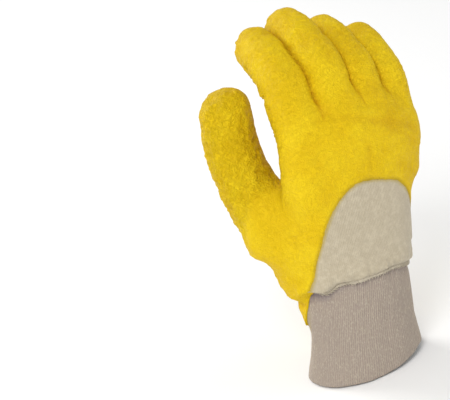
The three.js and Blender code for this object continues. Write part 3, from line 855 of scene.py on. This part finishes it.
def jerseyMaterial():
    material, tree, cloth, place = newMaterial("jersey")
    axes = put(tree, "SeparateXYZ", {"Vector": place}).outputs
    yarn = placed(tree, mixedYarn, {"Place": place, "Length": 0.55})
    cloudy, fibres = noiseOf(tree, place, 260.0, 4.0), noiseOf(tree, place, 1500.0)
    soaked = calc(tree, "MULTIPLY_ADD", fibres, 1.2, 0.3)
    stained = calc(tree, "MULTIPLY", column(tree, "stain"), soaked, clamp=True)
    # depth paints shade on the jersey just above the seam, in grey.
    base = tinted(
        tree, "jersey", (ramp(tree, cloudy, 0.4, 0.75), 0.6, "jerseyPale"), (yarn["Dark"], 0.3, "jerseyGrey"),
        (yarn["Light"], 0.35, "jerseyPale"), (stained, 1.0, "stain"),
        (column(tree, "depth"), 0.7, "jerseyGrey"),
    )
    loops = placed(tree, knitLoops, {"Across": axes[0], "Up": axes[2], "Gauge": loopWidth["jersey"]})
    finishCloth(tree, cloth, base, loops, 0.5, fibres, 1.1, sheen=0.25)
    return material


def cuffMaterial():
    material, tree, cloth, place = newMaterial("ribKnit")
    axes = put(tree, "SeparateXYZ", {"Vector": place}).outputs
    yarn = placed(tree, mixedYarn, {"Place": place, "Length": 0.35})
    # The rib grooves are painted darker as shade, and depth paints the shade under the seam.
    base = tinted(
        tree, "cuff", (column(tree, "groove"), 0.75, "cuffDark"), (yarn["Dark"], 0.5, "cuffDark"),
        (yarn["Light"], 0.6, "cuffPale"), (column(tree, "depth"), 0.7, "cuffShade"),
        (column(tree, "stain"), 0.28, "stain"),
    )
    across = {"Across": column(tree, "ribPlace"), "Up": axes[2], "Gauge": loopWidth["cuff"]}
    loops = placed(tree, knitLoops, across)
    finishCloth(tree, cloth, base, loops, 0.6, noiseOf(tree, place, 1700.0), 1.0, sheen=0.2)
    return material


def threadMaterial():
    material, tree, cloth, place = newMaterial("seamThread")
    fibres = noiseOf(tree, place, 2200.0)
    feed(tree, cloth, {
        "Base Color": tinted(tree, "thread", (fibres, 1.0, "jersey")), "Roughness": 0.85,
        "Normal": relief(tree, fibres, 0.4, 0.0002),
    })
    return material


latexSkin, jerseyCloth = latexMaterial(), jerseyMaterial()
ribCloth, seamThread = cuffMaterial(), threadMaterial()
print("materials made")


# The coat's edge: how far from it the latex is whole and looks thin, how high it stands over the
# bare cloth, and its thinner wall. Over the cuff it is a tongue with two sides and less relief.
# The last shares say how much painted shade grooves, hollows, single folds and valley take.
coat = dict(
    whole=4.5, thin=2.6, rise=0.6, edgeRelief=0.25, edgeWall=0.7, tongueWall=1.0, tongueOut=1.3, tongueIn=0.2,
    tongueRelief=0.6, tongueBlend=(4.5, -1), paintedShadeShares=(0.8, 0.4, 0.3, 0.22),
)


# A value for both sides of a shell: the outside's own, and the same or another number inside.
def bothSides(values, inside=None):
    return np.concatenate([values, values if inside is None else np.full(len(values), float(inside))])


# Points moved on to the cuff where share is 1, and left where it is 0.
def laidOnCuff(moved, points, seam, over, share):
    return moved + (onCuff(*points.T, seam, over) - moved) * share[:, None]


def makeCoat(low, facts):
    points, faces, facts = keptWhere(handPoints, handFaces, low, facts)
    points, faces, facts = keptWhere(points, faces, -facts["bare"], facts)
    seam, way, loose = facts["seam"], unit(facts["way"]), facts["loose"]
    outer = points + way * facts["coatOut"][:, None]
    wall = np.where(seam < 0, coat["tongueWall"], hand["coatWall"] - coat["edgeWall"] * facts["thin"])
    inner = points + way * (loose - wall)[:, None]
    onTongue = smoothStep(*coat["tongueBlend"], seam)
    over = coat["tongueOut"] + coat["tongueRelief"] * (facts["coatOut"] - loose)
    outer = laidOnCuff(outer, points, seam, over, onTongue)
    inner = laidOnCuff(inner, points, seam, coat["tongueIn"], onTongue)
    points, faces, slots = shell(outer, inner, faces)
    # depth holds the painted shade of grooves, hollows, folds and valley.
    piece = newPiece("latexCoat", points, faces, [latexSkin, jerseyCloth], slots, {
        "crinkle": bothSides(facts["crinkle"]), "depth": bothSides(facts["depth"], 0),
        "thin": bothSides(facts["thin"], 0), "stain": np.zeros(len(points)),
    })
    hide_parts("latex_coat")
    print("coat:", len(faces), "triangles")


# The bare jersey, which runs on a little way under the latex. It gives back its lower edge.
def makeJersey(facts):
    points, faces, facts = keptWhere(handPoints, handFaces, facts["seam"], facts)
    points, faces, facts = keptWhere(points, faces, facts["bare"] + jerseyFolds["under"], facts)
    seam, way, out, wall = facts["seam"], unit(facts["way"]), facts["jerseyOut"][:, None], jerseyFolds["wall"]
    sewn = smoothStep(*jerseyFolds["sewn"], seam)  # 1 where the jersey is sewn to the cuff
    over = jerseyFolds["edge"] + layered(points, jerseyFolds["edgeNoise"])
    outer = laidOnCuff(points + way * out, points, seam, over, sewn)
    inner = laidOnCuff(points + way * (out - wall), points, seam, over - wall, sewn)
    stain = jerseyFolds["stain"] * smoothStep(jerseyFolds["stainReach"], 0, facts["bare"])
    shade = jerseyFolds["shade"] * smoothStep(jerseyFolds["shadeReach"], 0, seam)
    points, faces, _ = shell(outer, inner, faces)
    piece = newPiece("jerseyBack", points, faces, [jerseyCloth], None, {
        "stain": bothSides(stain, 0), "depth": bothSides(shade),
    })
    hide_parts("jersey_back")
    print("jersey:", len(faces), "triangles")
    return outer[np.abs(seam) < 0.09]  # the points that keptWhere cut on the seam's line


def makeHand():
    normals = evened(normalsOf(handPoints, handFaces), handFaces, 2)
    facts = describe(handPoints, normals)
    height, crinkle, lines = latexHeight(facts)
    loose, bare = looseness(facts), facts["bare"]
    whole = smoothStep(0, coat["whole"], -bare)  # 0 at the edge of the bare patch
    relieved = coat["edgeRelief"] + (1 - coat["edgeRelief"]) * whole
    coatOut = loose + height * relieved - coat["rise"] * (1 - whole)
    pressed = jerseyFolds["pressed"] * smoothStep(0, 2.5, -bare)  # by the latex over it
    jerseyOut = loose + layered(handPoints, jerseyFolds["soft"]) - coat["rise"] - pressed
    # Painted shade: the latex is darkened in grooves, hollows, single folds and the thumb's valley.
    paintedShadeParts = facts["groove"], smoothStep(0.1, -0.8, height), lines, facts["valley"]
    depth = np.clip(sum(part * share for part, share in zip(paintedShadeParts, coat["paintedShadeShares"])), 0, 1)
    rows = dict(
        way=normals, loose=loose, bare=bare, seam=facts["seam"], coatOut=coatOut, jerseyOut=jerseyOut,
        crinkle=crinkle, depth=depth, thin=smoothStep(coat["thin"], 0, -bare),
    )
    makeCoat(facts["low"], rows)
    return makeJersey(rows)


jerseyHem = makeHand()


# The cuff as one closed profile carried round: up the outside, in over the top, down the
# inside and round the hem. The ribs are a cosine round the outside, bent a little by noise, and
# the hem is a quarter circle on each side. From the level row up, the rows spread to the seam.
def makeCuff():
    columnsRound = cuff["ribs"] * cuff["columnsPerRib"]
    turn = np.arange(columnsRound) / columnsRound * 2 * np.pi
    level, top, hemRound = cuff["levelRow"], cuff["topRow"], cuff["hemRound"]
    outside = np.concatenate([[0, 0.5, hemRound], np.linspace(2 * hemRound, top, cuff["rowsOut"])])
    inside = np.linspace(top, hemRound, cuff["rowsIn"])
    z, angle = np.meshgrid(np.concatenate([outside, inside]), turn, indexing="ij")
    isIn = np.repeat([0, 1], [len(outside), len(inside)])[:, None]
    cosine, sine, around = np.cos(angle), np.sin(angle), np.degrees(angle)
    seamLine = seamHeight(cuff["top"][0] / 2 * cosine, cuff["top"][1] / 2 * sine)
    spread = (seamLine + cuff["tuck"] - level) / (top - level)
    z = np.where(z > level, level + (z - level) * spread, z)
    seam = z - seamLine
    flat = roundCells(around, z, cuff["noiseHeight"])
    ribPlace = angle * cuff["ribs"] / (2 * np.pi) + cuff["ribWander"] * noiseAt(flat * (3, 2, 1), 1, 62)
    groove = (0.5 - 0.5 * np.cos(2 * np.pi * ribPlace)) * (1 - isIn)
    hemIn = hemRound * (1 - np.sqrt(np.clip(1 - (1 - z / hemRound) ** 2, 0, 1))) * (z < hemRound)
    out = cuffOut(around, z, seam) - cuff["ribDepth"] * groove
    out = out - cuff["wall"] * isIn + np.where(isIn > 0, hemIn, -hemIn)
    halfWide, halfDeep = cuffHalf(z)
    raised = z + valueAt(hemLift, fromTwenty(around)) * smoothStep(cuff["liftReach"], 0, z)
    points = np.stack([(halfWide + out) * cosine, (halfDeep + out) * sine, raised], -1).reshape(-1, 3)
    a = np.arange(z.size).reshape(z.shape)
    b, c = np.roll(a, -1, 1), np.roll(a, -1, 0)
    faces = np.stack([a, b, np.roll(c, -1, 1), c], -1).reshape(-1, 4)
    tongue = cuff["length"] - valueAt(tongueEdge, around)
    stain = smoothStep(cuff["stainReach"], 0, tongue - z)
    stain = stain * smoothStep(8, 30, around) * smoothStep(176, 160, around)
    # Painted shade under the seam, strongest at the corner by the tongue.
    depth = cuff["shade"] + cuff["shadeNoise"] * noiseAt(flat * (2, 1, 1), 1, 64)
    corner = cuff["cornerShade"] * bump(around, cuff["cornerAngle"], cuff["cornerSpread"])
    depth = smoothStep(-cuff["shadeReach"], 0, seam) * depth + corner * smoothStep(-9, -2, seam)
    piece = newPiece("ribCuff", points, faces, [ribCloth], None, {
        "groove": groove, "stain": stain * (1 - isIn), "depth": depth * (1 - isIn),
        "ribPlace": ribPlace * loopWidth["cuff"],
    })
    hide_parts("rib_cuff")
    print("cuff:", len(faces), "faces")


makeCuff()


# The overlocked seam between the jersey and the cuff, where no latex covers it: a roll of thread
# along the jersey's lower edge, and a slanted stitch over it for each step along the edge. The
# seam's start and end are angles, and a stitch is an arc of an ellipse (outwards, upwards).
seamThreads = dict(
    start=180, end=366, steps=420, roll=1.05, rollNoise=0.16, sides=8, inset=0.2, pitch=2.0, pitchNoise=0.25,
    stitch=(1.25, 1.7), arc=(-100, 100), arcSteps=9, thread=0.3, threadSides=5, slant=0.8,
)


# A tube round each of many lines at once: the lines are (line, point, 3), and the section at a
# point is a circle in the plane across the line.
def tubesRound(lines, radius, sides):
    forward = unit(np.gradient(lines, axis=1))
    across = unit(np.cross(forward, np.broadcast_to(np.array([0.1, 0.2, 1.0]), lines.shape)))
    over = np.cross(across, forward)
    turn = np.arange(sides) / sides * 2 * np.pi
    ring = across[..., None, :] * np.cos(turn)[:, None] + over[..., None, :] * np.sin(turn)[:, None]
    points = lines[..., None, :] + ring * np.broadcast_to(radius, lines.shape[:2])[..., None, None]
    count, steps = lines.shape[:2]
    number = np.arange(points.size // 3).reshape(count, steps, sides)
    a, b = number[:, :-1], number[:, 1:]
    walls = np.stack([a, b, np.roll(b, -1, 2), np.roll(a, -1, 2)], -1).reshape(-1, 4)
    faces, fan = [walls[:, [0, 1, 2]], walls[:, [0, 2, 3]]], np.arange(1, sides - 1)
    for turned, end in enumerate((number[:, 0], number[:, -1])):  # a fan closes each end
        corners = [end[:, fan * 0], end[:, fan + turned], end[:, fan + 1 - turned]]
        faces.append(np.stack(corners, -1).reshape(-1, 3))
    return points.reshape(-1, 3), np.concatenate(faces)


def makeSeam():
    around = angleRound(jerseyHem[:, 0], jerseyHem[:, 1])
    order = np.argsort(around)
    angle = np.linspace(seamThreads["start"], seamThreads["end"], seamThreads["steps"])
    path = np.stack([np.interp(angle, around[order], column) for column in jerseyHem[order].T], 1)
    kernel = np.array([1, 4, 6, 4, 1]) / 16
    path[2:-2] = np.stack([np.convolve(column, kernel, "valid") for column in path.T], 1)
    out = unit(path * (1, 1, 0))
    forward = unit(np.gradient(path, axis=0))
    over = np.cross(forward, out)
    middle = path - out * seamThreads["inset"] - over * seamThreads["inset"]
    fat = seamThreads["roll"] * (1 + seamThreads["rollNoise"] * noiseAt(path, 2.6, 71))
    roll = tubesRound(middle[None], fat[None], seamThreads["sides"])
    along, pitch = travelled(path), seamThreads["pitch"]
    places = np.arange(pitch, along[-1] - pitch, pitch)
    places = places + seamThreads["pitchNoise"] * noiseAt(places[:, None] * (1, 0, 0), 1.3, 72)
    phase = np.radians(np.linspace(*seamThreads["arc"], seamThreads["arcSteps"]))[:, None]
    at = lambda rows: np.stack([np.interp(places, along, c) for c in rows.T], 1)[:, None, :]
    bow, reach = seamThreads["stitch"]
    stitches = at(middle) + at(out) * (bow * np.cos(phase)) + at(over) * (reach * np.sin(phase))
    stitches = stitches + at(forward) * (seamThreads["slant"] * np.sin(phase))
    threads = tubesRound(stitches, seamThreads["thread"], seamThreads["threadSides"])
    points = np.concatenate([roll[0], threads[0]])
    faces = np.concatenate([roll[1], threads[1] + len(roll[0])])
    piece = newPiece("seamThreads", points, faces, [seamThread])
    print("seam:", len(places), "stitches,", len(faces), "triangles")


makeSeam()


# The camera stands where the photograph was taken from, rolled as the glove is in the picture.
# It looks past the glove, so that the target is seen at a pixel right of the frame's middle.
camera = dict(
    yaw=31.7, pitch=20.8, roll=11, away=1.1, target=(0, 0, 0.12), pixelsPerMm=1.57, seen=(333, 193.5),
    frame=(450, 400),
)


def makeCamera():
    yaw, pitch, roll = (math.radians(camera[k]) for k in ("yaw", "pitch", "roll"))
    ahead = Vector((math.sin(yaw) * math.cos(pitch), math.cos(yaw) * math.cos(pitch), -math.sin(pitch)))
    right = Vector((math.cos(yaw), -math.sin(yaw), 0))
    up = right.cross(ahead)
    right, up = right * math.cos(roll) - up * math.sin(roll), right * math.sin(roll) + up * math.cos(roll)
    focal = camera["pixelsPerMm"] * camera["away"] / mm
    aim = [seen - size / 2 for seen, size in zip(camera["seen"], camera["frame"])]
    place = Vector(camera["target"]) - ahead * camera["away"]
    ahead = (ahead - right * (aim[0] / focal) + up * (aim[1] / focal)).normalized()
    right = (right - ahead * right.dot(ahead)).normalized()
    up = right.cross(ahead)
    data = bpy.data.cameras.new("camera")
    data.lens = focal / camera["frame"][0] * data.sensor_width
    eye = newObject("camera", data)
    eye.matrix_world = Matrix.Translation(place) @ Matrix((right, up, -ahead)).transposed().to_4x4()
    bpy.context.scene.camera = eye


# Lights are (place, size, power), and all look at the middle of the glove.
studio = dict(
    lights={
        "key": ((-1.0, -0.9, 1.4), 0.8, 13), "fill": ((1.3, -0.9, 0.8), 1.2, 5),
        "lowLight": ((-1.2, -0.7, 0.25), 1.0, 4), "palmLight": ((-0.4, 1.4, 1.0), 0.9, 14),
    },
    middle=(0, 0.02, 0.12), sky=0.56, floorSize=12, floorLevel=-0.0006, floorColour=(0.95, 0.95, 0.945, 1),
)


def makeLight(name, place, size, power):
    data = bpy.data.lights.new(name, "AREA")
    data.shape, data.size, data.energy = "DISK", size, power
    lamp = newObject(name, data)
    lamp.location = place
    lamp.rotation_euler = (Vector(studio["middle"]) - lamp.location).to_track_quat("-Z", "Y").to_euler()


def makeStudio():
    mesh = bpy.data.meshes.new("floor")
    size, level = studio["floorSize"], studio["floorLevel"]
    corners = [(x * size, y * size, level) for x, y in ((-1, -1), (1, -1), (1, 1), (-1, 1))]
    mesh.from_pydata(corners, [], [(0, 1, 2, 3)])
    material, tree, plain, _ = newMaterial("paleFloor")
    feed(tree, plain, {"Base Color": studio["floorColour"], "Roughness": 0.9})
    mesh.materials.append(material)
    newObject("floor", mesh)
    world = bpy.data.worlds.new("studio")
    world.use_nodes = True
    sky = world.node_tree.nodes["Background"]
    feed(world.node_tree, sky, {"Color": (1, 1, 1, 1), "Strength": studio["sky"]})
    bpy.context.scene.world = world
    for name, light in studio["lights"].items():
        makeLight(name, *light)
    bpy.context.scene.view_settings.view_transform = "Standard"


makeCamera()
makeStudio()
print("camera and lights set")
